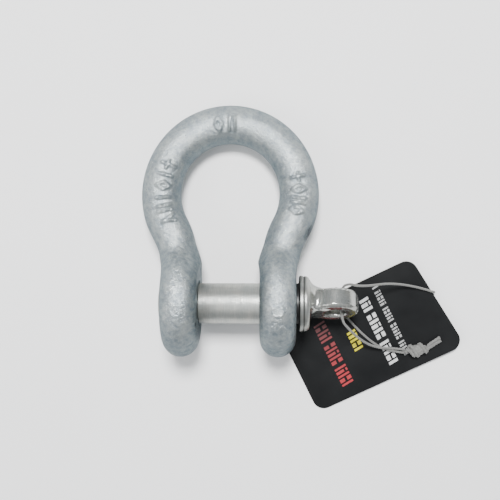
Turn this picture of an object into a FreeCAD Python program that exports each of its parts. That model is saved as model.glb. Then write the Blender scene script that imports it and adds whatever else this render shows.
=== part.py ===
import FreeCAD, Part

import math
import os
import re

import Sketcher
from FreeCAD import Placement, Rotation, Vector

# A galvanised bow shackle with its screw pin, lying on its side with a hang tag tied to the pin.
# X runs along the pin with its eye at +X, Y points to the crown of the bow and Z points up.
# The origin is on the pin's axis, half way between the two ears.
# The shackle rests on the rims of its ears and on its crown, so the bow slopes down towards the crown.

doc = FreeCAD.newDocument("bow_shackle")
sheet = doc.addObject("Spreadsheet::Sheet", "Sizes")

SIZES = {
    # the bow's bar and its centre line
    "bar_crown_radius": 4.75,
    "bar_neck_radius": 4.95,
    "crown_arc_radius": 16.6,
    "side_arc_radius": 17.6,
    "neck_arc_radius": 30.0,
    "crown_arc_half_angle": 45.0,
    "neck_swing_angle": 27.0,
    "crown_reach": 44.0,
    # the bar's oval foot, where it runs into the ear
    "foot_half_width": 4.2,
    "foot_half_height": 5.6,
    # the ears
    "ear_radius": 12.95,
    "ear_half_thickness": 4.35,
    "clear_hole_radius": 5.2,
    "countersink_radius": 5.7,
    "countersink_depth": 0.9,
    # the pin and its thread
    "shank_radius": 4.88,
    "thread_radius": 4.85,
    "thread_depth": 0.85,
    "thread_pitch": 1.5,
    "thread_clearance": 0.08,
    "thread_start": -7.4,
    "relief_radius": 3.9,
    "relief_width": 1.6,
    "pin_tip": -16.9,
    "tip_chamfer": 0.9,
    # the collar, which stands off the ear by half a turn of the thread and by a small gap more
    "seat_gap": 0.05,
    "seat_clearance": 0.3,
    "collar_radius": 6.75,
    "collar_rim_width": 0.95,
    "collar_width": 2.4,
    "collar_chamfer": 0.55,
    "flare_reach": 3.0,
    "neck_radius": 3.5,
    # the flat eye at the pin's head
    "eye_place": 25.5,
    "eye_radius": 5.6,
    "eye_hole_radius": 2.65,
    "eye_thickness": 4.9,
    "eye_lean": 27.0,
    "eye_rounding": 0.9,
    # the hang tag, a card cut a little out of square, whose right end is raised by the cord under it
    "tag_long_edge": 41.4,
    "tag_short_edge": 38.5,
    "tag_width": 26.2,
    "tag_thickness": 0.4,
    "tag_corner_radius": 3.0,
    "tag_turn": 26.2,
    "tag_tilt": 2.2,
    "tag_along": 16.6,
    "tag_across": -18.7,
    "tag_lift": 0.05,
    "tag_hole_radius": 1.6,
    "tag_hole_along": 18.6,
    "tag_hole_across": 9.0,
    # the cord and its knot
    "cord_radius": 0.325,
    "knot_half_length": 2.9,
    "knot_half_width": 2.05,
    "knot_half_height": 1.4,
    "knot_along": 47.1,
    "knot_across": -13.4,
    "knot_level": -9.7,
    "knot_turn": 8.0,
}

for row, (name, value) in enumerate(SIZES.items(), start=1):
    sheet.set(f"A{row}", name)
    sheet.set(f"B{row}", str(value))
    sheet.setAlias(f"B{row}", name)
doc.recompute()


def size(name):
    return float(getattr(sheet, name))


def bind(obj, **expressions):
    """Bind properties of an object to the sheet; the words in an expression that are aliases refer to it."""
    for prop, text in expressions.items():
        text = re.sub(r"[a-z_]+", lambda word: f"Sizes.{word[0]}" if word[0] in SIZES else word[0], text)
        obj.setExpression(prop, text)


def primitive(kind, name, **expressions):
    obj = doc.addObject(f"Part::{kind}", name)
    bind(obj, **expressions)
    return obj


def boolean(kind, name, base, tool):
    obj = doc.addObject(f"Part::{kind}", name)
    obj.Base = base
    obj.Tool = tool
    return obj


def fuse(name, pieces):
    obj = doc.addObject("Part::MultiFuse", name)
    obj.Shapes = pieces
    return obj


# ---------------------------------------------------------------- lie of the shackle on its rest

X_AXIS, Y_AXIS, Z_AXIS = Vector(1, 0, 0), Vector(0, 1, 0), Vector(0, 0, 1)
ALONG_X = Rotation(Y_AXIS, 90)
half_crown = math.radians(size("crown_arc_half_angle"))
swing = math.radians(size("neck_swing_angle"))

leg_offset = (
    size("crown_arc_radius") * math.sin(half_crown)
    + size("side_arc_radius") * (math.cos(swing) - math.sin(half_crown))
    - size("neck_arc_radius") * (1 - math.cos(swing))
)
outer_face = leg_offset + size("ear_half_thickness")
inner_face = leg_offset - size("ear_half_thickness")
floor_z = -size("ear_radius")
bow_slope = math.degrees(math.asin((size("ear_radius") - size("bar_crown_radius")) / size("crown_reach")))


# ---------------------------------------------------------------- bow

def bow_path():
    """The bar's centre line in the plane of the bow: leg, neck arc, side arc, crown arc and back."""
    crown, side, neck = size("crown_arc_radius"), size("side_arc_radius"), size("neck_arc_radius")
    crown_centre = Vector(0, size("crown_reach") - crown, 0)
    side_centre = crown_centre + Vector(math.sin(half_crown), math.cos(half_crown), 0) * (crown - side)
    neck_centre = side_centre + Vector(math.cos(swing), -math.sin(swing), 0) * (side + neck)

    def arc(centre, radius, start, end):
        return Part.ArcOfCircle(Part.Circle(centre, Z_AXIS, radius), start, end)

    def mirrored(point):
        return Vector(-point.x, point.y, 0)

    sketch = doc.addObject("Sketcher::SketchObject", "bow_path")
    quarter, turn = math.pi / 2, math.pi
    sketch.addGeometry([
        Part.LineSegment(Vector(-leg_offset, 0, 0), Vector(-leg_offset, neck_centre.y, 0)),
        arc(mirrored(neck_centre), neck, 0, swing),
        arc(mirrored(side_centre), side, quarter + half_crown, turn + swing),
        arc(crown_centre, crown, quarter - half_crown, quarter + half_crown),
        arc(side_centre, side, -swing, quarter - half_crown),
        arc(neck_centre, neck, turn - swing, turn),
        Part.LineSegment(Vector(leg_offset, neck_centre.y, 0), Vector(leg_offset, 0, 0)),
    ], False)
    start, end, middle = 1, 2, 3
    joints = [(0, end, 1, start), (1, end, 2, end), (2, start, 3, end),
              (3, start, 4, end), (4, start, 5, start), (5, end, 6, start)]
    for first, at_first, second, at_second in joints:
        sketch.addConstraint(Sketcher.Constraint("Tangent", first, at_first, second, at_second))
    for leg, foot in ((0, start), (6, end)):
        sketch.addConstraint(Sketcher.Constraint("Vertical", leg))
        sketch.addConstraint(Sketcher.Constraint("PointOnObject", leg, foot, -1))
    sketch.addConstraint(Sketcher.Constraint("PointOnObject", 3, middle, -2))
    radii = {1: "neck_arc_radius", 2: "side_arc_radius", 3: "crown_arc_radius",
             4: "side_arc_radius", 5: "neck_arc_radius"}
    for edge, alias in radii.items():
        number = sketch.addConstraint(Sketcher.Constraint("Radius", edge, size(alias)))
        bind(sketch, **{f"Constraints[{number}]": alias})
    height = sketch.addConstraint(Sketcher.Constraint("DistanceY", -1, 1, 3, middle, crown_centre.y))
    bind(sketch, **{f"Constraints[{height}]": "crown_reach - crown_arc_radius"})
    shoulder = crown * math.sin(half_crown)
    for point, other in (((-1, 1), (3, start)), ((3, end), (-1, 1))):
        number = sketch.addConstraint(Sketcher.Constraint("DistanceX", *point, *other, shoulder))
        bind(sketch, **{f"Constraints[{number}]": "crown_arc_radius * sin(crown_arc_half_angle * 1deg)"})
    for point, other in (((-1, 1), (6, end)), ((0, start), (-1, 1))):
        sketch.addConstraint(Sketcher.Constraint("DistanceX", *point, *other, leg_offset))
    return sketch


def bow_bar(path):
    """The forged bar: round, a little thicker at its necks than at the crown, with oval feet."""
    neck_end = Vector(leg_offset + size("neck_arc_radius") * (1 - math.cos(swing)),
                      size("crown_reach") - size("crown_arc_radius")
                      + math.cos(half_crown) * (size("crown_arc_radius") - size("side_arc_radius"))
                      - math.sin(swing) * size("side_arc_radius"), 0)
    sections = []

    def section(name, place, angle, **expressions):
        """One section of the bar, whose plane is square to the centre line at that angle from +Y."""
        kind = "Circle" if "Radius" in expressions else "Ellipse"
        ring = primitive(kind, name, **expressions)
        ring.Placement = Placement(place, Rotation(Z_AXIS, angle) * Rotation(X_AXIS, -90))
        sections.append(ring)

    foot = dict(MajorRadius="foot_half_height", MinorRadius="foot_half_width")
    degrees = size("neck_swing_angle")
    section("left_foot", Vector(-leg_offset, 0, 0), 0, **foot)
    section("left_neck", Vector(-neck_end.x, neck_end.y, 0), degrees, Radius="bar_neck_radius")
    section("crown", Vector(0, size("crown_reach"), 0), -90, Radius="bar_crown_radius")
    section("right_neck", neck_end, 180 - degrees, Radius="bar_neck_radius")
    section("right_foot", Vector(leg_offset, 0, 0), 180, **foot)
    for ring in (sections[0], sections[-1]):
        ring.Placement = ring.Placement * Placement(Vector(), Rotation(Z_AXIS, 90))
    sweep = doc.addObject("Part::Sweep", "bar")
    sweep.Sections = sections
    sweep.Spine = (path, [f"Edge{number}" for number in range(1, 8)])
    sweep.Solid = True
    sweep.Frenet = False
    return sweep


def profile(name, edges):
    """A closed outline in the plane of X and radius, ready to be turned about the X axis."""
    outline = doc.addObject("Part::Feature", f"{name}_outline")
    outline.Shape = Part.Wire(edges)
    turned = doc.addObject("Part::Revolution", name)
    turned.Source = outline
    turned.Axis = X_AXIS
    turned.Base = Vector(0, 0, 0)
    turned.Angle = 360
    turned.Solid = True
    return turned


def lines(*points):
    """Straight edges through points given as (x, radius)."""
    corners = [Vector(x, radius, 0) for x, radius in points]
    return [Part.LineSegment(a, b).toShape() for a, b in zip(corners, corners[1:])]


def bend(start, middle, end):
    """A round edge through three points given as (x, radius)."""
    return Part.Arc(*[Vector(x, radius, 0) for x, radius in (start, middle, end)]).toShape()


def ear(name, centre):
    """A round ear: flat on both faces, with a fully rounded rim."""
    half, flat = size("ear_half_thickness"), size("ear_radius") - size("ear_half_thickness")
    return profile(name, [
        *lines((centre + half, flat), (centre + half, 0), (centre - half, 0), (centre - half, flat)),
        bend((centre - half, flat), (centre, size("ear_radius")), (centre + half, flat)),
    ])


def along_x(kind, name, start, **expressions):
    """A primitive whose own axis lies along X and starts there."""
    obj = primitive(kind, name, **expressions)
    obj.Placement = Placement(Vector(start, 0, 0), ALONG_X)
    return obj


def thread_sweep(name, start, length, inner, inner_half, outer, outer_half):
    """A right-hand helical rib along X, between two radii, with its half width given at each of them."""
    helix = along_x("Helix", f"{name}_helix", start, Pitch="thread_pitch", Radius="thread_radius")
    helix.Height = length
    rib = doc.addObject("Part::Feature", f"{name}_section")
    half_section = [(inner, -inner_half), (outer, -outer_half)]
    other_half = [(out, -across) for out, across in reversed(half_section)]
    corners = half_section + other_half + half_section[:1]
    points = [Vector(start + across, 0, -out) for out, across in corners]
    rib.Shape = Part.Wire([Part.LineSegment(a, b).toShape() for a, b in zip(points, points[1:])])
    sweep = doc.addObject("Part::Sweep", name)
    sweep.Sections = [rib]
    sweep.Spine = (helix, [])
    sweep.Solid = True
    sweep.Frenet = True
    return sweep


# how far one solid runs into or past another where they are fused or cut
OVERLAP = 0.2

thread_root = size("thread_radius") - size("thread_depth")
crest_half = size("thread_pitch") / 16
flank = math.tan(math.radians(30))


def shackle_bow():
    """Bar and ears in one forging; the left ear is tapped, the right ear has a clear hole."""
    ears = [ear("left_ear", -leg_offset), ear("right_ear", leg_offset)]
    forging = fuse("forging", [bow_bar(bow_path()), *ears])
    reach = 4 * size("ear_half_thickness")
    clear_hole = along_x("Cylinder", "clear_hole", leg_offset - reach / 2, Radius="clear_hole_radius")
    clear_hole.Height = reach
    lead_in = along_x("Cone", "lead_in", -inner_face - size("countersink_depth"),
                      Radius1="thread_radius + thread_clearance", Radius2="countersink_radius",
                      Height="countersink_depth")
    bore = along_x("Cylinder", "tapping_bore", -2 * outer_face,
                   Radius="thread_radius - thread_depth + thread_clearance")
    bore.Height = 2 * outer_face
    spot_face = along_x("Cylinder", "spot_face", -inner_face, Radius="countersink_radius")
    spot_face.Height = inner_face
    collar_seat = along_x("Cylinder", "collar_seat", outer_face, Radius="collar_radius + seat_clearance")
    collar_seat.Height = size("ear_half_thickness")
    drills = fuse("drills", [clear_hole, collar_seat, lead_in, spot_face, bore])
    drilled = boolean("Cut", "drilled", forging, drills)
    inner, outer = thread_root - OVERLAP, size("thread_radius") + size("thread_clearance")
    pitch = size("thread_pitch")
    rib_half = pitch / 2 - crest_half - (outer - thread_root) * flank + size("thread_clearance")
    tap = thread_sweep("tap", size("pin_tip") - 1.5 * pitch, 2.5 * pitch - inner_face - size("pin_tip"),
                       inner, rib_half + (outer - inner) * flank, outer, rib_half)
    tap.Placement = Placement(Vector(0, 0, 0), Rotation(X_AXIS, bow_slope))
    bow = boolean("Cut", "shackle_bow", drilled, tap)
    bow.Placement = Placement(Vector(0, 0, 0), Rotation(X_AXIS, -bow_slope))
    return bow


def screw_pin():
    """Threaded end, shank, collar, flared neck and flat eye in one forging."""
    collar = outer_face + size("thread_pitch") / 2 + size("seat_gap")
    rim_end = collar + size("collar_rim_width")
    back = collar + size("collar_width")
    relief_start = size("thread_start") - size("relief_width")
    shank, relief = size("shank_radius"), size("relief_radius")
    neck, edge = size("neck_radius"), size("collar_radius")
    flare_end = back + size("flare_reach")
    rounding, shoulder, groove = 0.15, 0.08, 0.2
    flare_middle = (back + 0.27 * size("flare_reach"), neck + 0.9)
    inside = relief_start - OVERLAP
    body = profile("turned_body", [
        *lines((inside, 0), (inside, relief), (size("thread_start") - shoulder, relief),
               (size("thread_start"), shank - rounding), (size("thread_start") + rounding, shank),
               (collar, shank), (collar, edge - rounding), (collar + rounding, edge),
               (rim_end - groove, edge), (rim_end, edge - groove), (rim_end + groove, edge),
               (back - size("collar_chamfer"), edge), (back, edge - size("collar_chamfer"))),
        bend((back, edge - size("collar_chamfer")), flare_middle, (flare_end, neck)),
        bend((flare_end, neck), (flare_end + 0.7 * neck, 0.7 * neck), (flare_end + neck, 0)),
        *lines((flare_end + neck, 0), (inside, 0)),
    ])
    tip = size("pin_tip")
    core = along_x("Cylinder", "thread_core", tip, Radius="thread_radius")
    core.Height = relief_start - tip
    pitch, crest = size("thread_pitch"), size("thread_radius")
    past_crest, past_end = crest + OVERLAP, relief_start + OVERLAP
    groove_cutter = thread_sweep("groove", tip - pitch, core.Height.Value + 2 * pitch, thread_root, crest_half,
                                 past_crest, crest_half + (past_crest - thread_root) * flank)
    thread = boolean("Cut", "thread", core, groove_cutter)
    chamfer = size("tip_chamfer")
    point = profile("tip_shape", lines((tip, 0), (tip, crest - chamfer), (tip + chamfer, crest),
                                       (tip + chamfer, past_crest), (past_end, past_crest), (past_end, 0),
                                       (tip, 0)))
    thread = boolean("Common", "thread_end", thread, point)
    plate = primitive("Cylinder", "eye_plate", Radius="eye_radius", Height="eye_thickness")
    across_eye = Rotation(X_AXIS, 90)
    plate.Placement = Placement(Vector(size("eye_place"), size("eye_thickness") / 2, 0), across_eye)
    doc.recompute()
    rounded = doc.addObject("Part::Fillet", "eye_rounded")
    rounded.Base = plate
    rims = [number for number, rim in enumerate(plate.Shape.Edges, start=1) if rim.Closed and rim.Length > 1
            and isinstance(rim.Curve, Part.Circle)]
    rounded.Edges = [(number, size("eye_rounding"), size("eye_rounding")) for number in rims]
    hole = primitive("Cylinder", "eye_hole", Radius="eye_hole_radius")
    hole.Height = 4 * size("eye_thickness")
    hole.Placement = Placement(Vector(size("eye_place"), 2 * size("eye_thickness"), 0), across_eye)
    head = boolean("Cut", "head", fuse("solid_head", [body, rounded]), hole)
    head.Placement = Placement(Vector(0, 0, 0), Rotation(X_AXIS, -size("eye_lean")))
    return fuse("screw_pin", [head, thread])


# ---------------------------------------------------------------- tag and cord

TAG = Placement(
    Vector(size("tag_along"), size("tag_across"), floor_z + size("tag_lift")),
    Rotation(Z_AXIS, size("tag_turn")) * Rotation(Y_AXIS, -size("tag_tilt")),
)


def hang_tag():
    """A card whose own X runs along its length from the middle of its left edge."""
    body = doc.addObject("PartDesign::Body", "hang_tag")
    plane = [feature for feature in body.Origin.OriginFeatures if feature.Role == "XY_Plane"][0]
    outline = body.newObject("Sketcher::SketchObject", "tag_outline")
    outline.AttachmentSupport = [(plane, "")]
    outline.MapMode = "FlatFace"
    width, low, high = size("tag_width"), size("tag_long_edge"), size("tag_short_edge")
    corners = [
        Vector(0, -width / 2, 0),
        Vector(low, -width / 2, 0),
        Vector(high, width / 2, 0),
        Vector(0, width / 2, 0),
    ]
    along = [None, "tag_long_edge", "tag_short_edge", None]
    outline.addGeometry([Part.LineSegment(corners[n], corners[(n + 1) % 4]) for n in range(4)], False)
    for n in range(4):
        outline.addConstraint(Sketcher.Constraint("Coincident", n, 2, (n + 1) % 4, 1))
    for n, corner in enumerate(corners):
        ends = ((n, 1), (-1, 1)) if corner.y < 0 else ((-1, 1), (n, 1))
        number = outline.addConstraint(Sketcher.Constraint("DistanceY", *ends[0], *ends[1], width / 2))
        bind(outline, **{f"Constraints[{number}]": "tag_width / 2"})
        if along[n] is None:
            outline.addConstraint(Sketcher.Constraint("PointOnObject", n, 1, -2))
        else:
            number = outline.addConstraint(Sketcher.Constraint("DistanceX", -1, 1, n, 1, corner.x))
            bind(outline, **{f"Constraints[{number}]": along[n]})
    card = body.newObject("PartDesign::Pad", "card")
    card.Profile = outline
    bind(card, Length="tag_thickness")
    outline.Visibility = False
    doc.recompute()
    upright = [f"Edge{number}" for number, edge in enumerate(card.Shape.Edges, start=1)
               if abs(edge.tangentAt(edge.FirstParameter).z) > 0.9]
    corner_fillet = body.newObject("PartDesign::Fillet", "rounded_corners")
    corner_fillet.Base = (card, upright)
    bind(corner_fillet, Radius="tag_corner_radius")
    punch = body.newObject("Sketcher::SketchObject", "punch")
    punch.AttachmentSupport = [(plane, "")]
    punch.MapMode = "FlatFace"
    place = Vector(size("tag_hole_along"), size("tag_hole_across"), 0)
    punch.addGeometry(Part.Circle(place, Z_AXIS, size("tag_hole_radius")), False)
    named = (("DistanceX", place.x, "tag_hole_along"), ("DistanceY", place.y, "tag_hole_across"))
    for kind, value, alias in named:
        number = punch.addConstraint(Sketcher.Constraint(kind, -1, 1, 0, 3, value))
        bind(punch, **{f"Constraints[{number}]": alias})
    number = punch.addConstraint(Sketcher.Constraint("Radius", 0, size("tag_hole_radius")))
    bind(punch, **{f"Constraints[{number}]": "tag_hole_radius"})
    hole = body.newObject("PartDesign::Pocket", "punched_hole")
    hole.Profile = punch
    hole.Type = "ThroughAll"
    hole.Midplane = True
    body.Tip = hole
    body.Placement = TAG
    return body


# The cord's route: from the knot to the eye, through it, over the tag's right edge, back under the tag,
# up through the tag's hole and along the tag to the knot.
CORD_ROUTE = [
    (44.1, -13.3, -10.0),
    (41.2, -13.0, -10.2),
    (38.0, -13.0, -9.9),
    (34.5, -11.7, -8.4),
    (31.4, -9.2, -5.6),
    (29.0, -6.4, -1.4),
    (27.0, -3.9, 1.0),
    (27.0, 3.9, -1.4),
    (28.9, 5.2, 1.6),
    (30.4, 4.9, 4.2),
    (34.0, 4.5, 0.6),
    (38.0, 4.3, -4.6),
    (42.5, 3.7, -8.2),
    (46.5, 2.8, -9.9),
    (49.4, 2.0, -10.3),
    (50.9, 1.5, -10.35),
    (51.6, 1.3, -11.4),
    (50.9, 1.2, -12.55),
    (48.5, 0.8, -12.6),
    (43.0, 0.0, -12.6),
    (37.0, -1.0, -12.6),
    (32.0, -1.9, -12.6),
    (29.5, -2.2, -12.6),
    (28.2, -2.8, -11.7),
    (28.6, -4.3, -10.7),
    (30.6, -6.7, -11.1),
    (33.4, -9.6, -11.0),
    (36.6, -12.2, -10.9),
    (40.0, -13.8, -10.7),
    (44.3, -14.2, -10.2),
]


# The two cut ends beyond the knot.
TAIL_ROUTES = {
    "first_end": [(49.0, -13.0, -9.8), (51.0, -12.2, -10.2), (53.3, -10.9, -10.3)],
    "second_end": [(48.6, -12.4, -9.8), (50.6, -11.5, -10.2), (53.0, -10.1, -10.3)],
}
TRIM_SHARE = 0.45


def corded(name, route, alias):
    """A round cord along straight runs joined by arcs; prints its arcs' radii and its volume."""
    points = [Vector(*point) for point in route]
    runs = [(b - a).Length for a, b in zip(points, points[1:])]
    edges, radii, last = [], [], points[0]
    for before, corner, after, run_in, run_out in zip(points, points[1:], points[2:], runs, runs[1:]):
        into = (corner - before).normalize()
        away = (after - corner).normalize()
        half_turn = into.getAngle(away) / 2
        trim = TRIM_SHARE * min(run_in, run_out)
        radius = trim / math.tan(half_turn)
        first, second = corner - into * trim, corner + away * trim
        centre_way = (away - into).normalize()
        centre = corner + centre_way * (radius / math.cos(half_turn))
        middle = centre - centre_way * radius
        edges += [Part.LineSegment(last, first).toShape(), Part.Arc(first, middle, second).toShape()]
        radii.append(radius)
        last = second
    edges.append(Part.LineSegment(last, points[-1]).toShape())
    line = doc.addObject("Part::Feature", f"{name}_line")
    line.Shape = Part.Wire(edges)
    ring = primitive("Circle", f"{name}_ring", Radius=alias)
    way = (points[1] - points[0]).normalize()
    ring.Placement = Placement(points[0], Rotation(Z_AXIS, way))
    tube = doc.addObject("Part::Sweep", name)
    tube.Sections = [ring]
    tube.Spine = (line, [])
    tube.Solid = True
    tube.Frenet = False
    doc.recompute()
    length = sum(edge.Length for edge in edges)
    expected = math.pi * size(alias) ** 2 * length
    print(f"{name}: length {length:.1f}, volume {tube.Shape.Volume:.2f} for {expected:.2f}")
    print("  arc radii", " ".join(f"{radius:.2f}" for radius in radii))
    return tube


def tie_knot():
    """The overhand knot on the tag, and the cord's two short cut ends."""
    lump = primitive("Ellipsoid", "knot_lump", Radius1="knot_half_height", Radius2="knot_half_length",
                     Radius3="knot_half_width")
    place = Vector(size("knot_along"), size("knot_across"), size("knot_level"))
    lump.Placement = Placement(place, Rotation(Z_AXIS, size("knot_turn")))
    ends = [corded(name, route, "cord_radius") for name, route in TAIL_ROUTES.items()]
    return fuse("tie_knot", [lump, *ends])


# ---------------------------------------------------------------- the parts, their checks and files

nodes = {
    "shackle_bow": shackle_bow(),
    "screw_pin": screw_pin(),
    "hang_tag": hang_tag(),
    "tie_cord": corded("tie_cord", CORD_ROUTE, "cord_radius"),
    "tie_knot": tie_knot(),
}
for label, obj in nodes.items():
    obj.Label = label
doc.recompute()

for obj in doc.Objects:
    if {"Invalid", "Error"} & set(obj.State):
        raise RuntimeError(f"{obj.Label} did not build: {obj.State}")
for label, obj in nodes.items():
    if obj.Shape.isNull() or not obj.Shape.isValid():
        raise RuntimeError(f"{label} has no valid shape")
    box = obj.Shape.BoundBox
    print(f"{label}: {len(obj.Shape.Solids)} solid(s), volume {obj.Shape.Volume:.1f}, "
          f"{box.XLength:.2f} x {box.YLength:.2f} x {box.ZLength:.2f}")

os.makedirs("parts", exist_ok=True)
for label, obj in nodes.items():
    obj.Shape.exportStep(f"parts/{label}.step")
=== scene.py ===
import math

import bpy
import numpy as np
from mathutils import Matrix, Vector


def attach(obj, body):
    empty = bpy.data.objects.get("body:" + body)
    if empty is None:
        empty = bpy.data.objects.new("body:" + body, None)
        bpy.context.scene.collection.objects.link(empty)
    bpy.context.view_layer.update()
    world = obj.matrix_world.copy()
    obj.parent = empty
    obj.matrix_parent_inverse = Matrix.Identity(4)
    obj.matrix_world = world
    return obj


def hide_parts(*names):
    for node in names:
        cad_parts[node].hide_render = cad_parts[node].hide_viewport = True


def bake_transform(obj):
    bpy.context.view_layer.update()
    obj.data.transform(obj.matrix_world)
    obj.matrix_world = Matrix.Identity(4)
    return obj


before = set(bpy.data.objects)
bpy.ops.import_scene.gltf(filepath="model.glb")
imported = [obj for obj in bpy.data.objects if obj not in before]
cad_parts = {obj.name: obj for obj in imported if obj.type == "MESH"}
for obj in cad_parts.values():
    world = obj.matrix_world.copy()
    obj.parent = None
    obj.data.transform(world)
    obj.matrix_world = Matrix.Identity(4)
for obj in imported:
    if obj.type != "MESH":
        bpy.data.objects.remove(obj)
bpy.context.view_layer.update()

# A galvanised bow shackle on its side, with a screw pin and a hang tag tied to the pin's eye.
# Lengths in this script are in millimetres and become metres where a mesh, light or camera is made.

MM = 0.001

# the bow, in its own plane: U across, V from the pin's axis to the crown, W square to both
EAR_RADIUS = 12.95
EAR_HALF = 4.35
CROWN_REACH = 44.0
CROWN_ARC, SIDE_ARC, NECK_ARC = 16.6, 17.6, 30.0
CROWN_SWEEP, NECK_SWING = math.radians(45), math.radians(27)
BAR_CROWN, BAR_NECK = 4.75, 4.95
FOOT_HALF_WIDTH, FOOT_HALF_HEIGHT = 3.9, 5.6
FOOT_START, FOOT_LENGTH = 20.0, 18.0
TAPER_START, TAPER_LENGTH = 14.0, 20.0
CLEAR_HOLE, COUNTERSINK, COUNTERSINK_DEPTH, HOLE_EASE = 5.2, 5.7, 0.9, 0.35
LEG = (CROWN_ARC * math.sin(CROWN_SWEEP) + SIDE_ARC * (math.cos(NECK_SWING) - math.sin(CROWN_SWEEP))
       - NECK_ARC * (1 - math.cos(NECK_SWING)))
SLOPE = -math.asin((EAR_RADIUS - BAR_CROWN) / CROWN_REACH)
FLOOR = -EAR_RADIUS

# the pin
SHANK = 4.88
THREAD, THREAD_DEPTH, PITCH = 4.85, 0.85, 1.5
THREAD_CLEARANCE = 0.08
PIN_TIP, THREAD_END, THREAD_START = -16.9, -9.0, -7.4
THREAD_RELIEF = 3.9
HOME_GAP = 0.05
COLLAR_FACE = LEG + EAR_HALF + PITCH / 2 + HOME_GAP   # the pin stands half a turn from home
COLLAR_RADIUS, COLLAR_WIDTH, COLLAR_RIM = 6.75, 2.4, 0.95
COLLAR_BACK = COLLAR_FACE + COLLAR_WIDTH
NECK_RADIUS, NECK_END = 3.75, COLLAR_BACK + 2.9
EYE_PLACE, EYE_RADIUS, EYE_HOLE, EYE_HALF = 25.5, 5.6, 2.65, 2.45
EYE_LEAN = math.radians(27)

# the tag: its own X runs along it from the middle of its left edge
TAG_LONG, TAG_SHORT, TAG_WIDTH, TAG_THICK = 41.4, 38.5, 26.2, 0.4
TAG_CORNER, TAG_HOLE = 3.0, 1.6
TAG_HOLE_PLACE = (18.6, 9.0)
TAG_ALONG, TAG_ACROSS, TAG_LIFT = 16.6, -18.7, 0.05
TAG_TURN, TAG_TILT = math.radians(26.2), math.radians(-2.2)
TAG_PLACE = (Matrix.Translation((TAG_ALONG, TAG_ACROSS, FLOOR + TAG_LIFT))
             @ Matrix.Rotation(TAG_TURN, 4, "Z") @ Matrix.Rotation(TAG_TILT, 4, "Y"))

CORD_RADIUS = 0.325

# how fine the skins of the forged pieces are
BOW_VOXEL, HEAD_VOXEL = 0.25, 0.16


# ---------------------------------------------------------------- camera

CAMERA_PLACE = Vector((10.98, 32.92, 205.0))
CAMERA_AIM = Vector((4.97, 13.0, 0.0))
CAMERA_ANGLE = math.radians(32.6)


def make_camera():
    """A camera high over the shackle, with its upper edge towards the crown."""
    data = bpy.data.cameras.new("camera")
    data.angle = CAMERA_ANGLE
    data.clip_start, data.clip_end = 0.01, 10
    camera = bpy.data.objects.new("camera", data)
    back = (CAMERA_PLACE - CAMERA_AIM).normalized()
    right = Vector((0, 1, 0)).cross(back).normalized()
    turn = Matrix((right, back.cross(right), back)).transposed().to_4x4()
    camera.matrix_world = Matrix.Translation(CAMERA_PLACE * MM) @ turn
    bpy.context.collection.objects.link(camera)
    bpy.context.scene.camera = camera


make_camera()


# ---------------------------------------------------------------- meshes

def new_object(name, vertices, faces, smooth_angle=50):
    """A mesh object from points in millimetres; edges sharper than the angle stay sharp."""
    mesh = bpy.data.meshes.new(name)
    points = [tuple(float(x) * MM for x in point) for point in vertices]
    mesh.from_pydata(points, [], [tuple(face) for face in faces])
    mesh.validate()
    mesh.shade_smooth()
    mesh.set_sharp_from_angle(angle=math.radians(smooth_angle))
    obj = bpy.data.objects.new(name, mesh)
    bpy.context.collection.objects.link(obj)
    return obj


def grid_faces(rows, columns, closed_rows=False, closed_columns=False, start=0):
    """Quads over a grid of points numbered row by row."""
    faces = []
    for row in range(rows if closed_rows else rows - 1):
        for column in range(columns if closed_columns else columns - 1):
            next_row, next_column = (row + 1) % rows, (column + 1) % columns
            faces.append((start + row * columns + column, start + row * columns + next_column,
                          start + next_row * columns + next_column, start + next_row * columns + column))
    return faces


def lathe(name, outline, segments=128, smooth_angle=35):
    """Turns an outline of (x, radius) about the X axis; its first and last points lie on the axis."""
    points = []
    for x, radius in outline:
        for k in range(segments):
            angle = 2 * math.pi * k / segments
            points.append((x, radius * math.cos(angle), radius * math.sin(angle)))
    return new_object(name, points, grid_faces(len(outline), segments, closed_columns=True), smooth_angle)


def joined(name, objects):
    """One object from several, keeping the first one's place."""
    bpy.ops.object.select_all(action="DESELECT")
    for obj in objects:
        obj.select_set(True)
    bpy.context.view_layer.objects.active = objects[0]
    bpy.ops.object.join()
    objects[0].name = name
    return objects[0]


def apply_modifiers(obj):
    """Bakes an object's modifiers into its mesh."""
    evaluated = obj.evaluated_get(bpy.context.evaluated_depsgraph_get())
    mesh = bpy.data.meshes.new_from_object(evaluated)
    obj.modifiers.clear()
    obj.data = mesh


def shaped(obj, distance, voxel, rounds=6):
    """Rebuilds a rough closed mesh as an even skin, and moves its points to where the distance is 0."""
    remesh = obj.modifiers.new("skin", "REMESH")
    remesh.mode = "VOXEL"
    remesh.voxel_size = voxel * MM
    apply_modifiers(obj)
    mesh = obj.data
    points = np.empty(len(mesh.vertices) * 3)
    mesh.vertices.foreach_get("co", points)
    points = points.reshape(-1, 3) / MM
    step = 0.01
    for _ in range(rounds):
        value = distance(points)
        slope = np.stack([(distance(points + step * axis) - distance(points - step * axis)) / (2 * step)
                          for axis in np.eye(3)], axis=1)
        points -= slope * (value / np.maximum((slope ** 2).sum(1), 0.2))[:, None]
    mesh.vertices.foreach_set("co", (points * MM).ravel())
    mesh.shade_smooth()
    mesh.update()
    return obj


def soft_min(a, b, blend):
    """The smaller of two distances, with a fillet between their surfaces."""
    share = np.clip(0.5 + 0.5 * (b - a) / blend, 0, 1)
    return b * (1 - share) + a * share - blend * share * (1 - share)


def soft_max(a, b, blend):
    """The larger of two distances, with the edge between their surfaces rounded."""
    return -soft_min(-a, -b, blend)


def eased(share):
    """A share from 0 to 1 that starts and ends gently."""
    return share * share * (3 - 2 * share)


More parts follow.
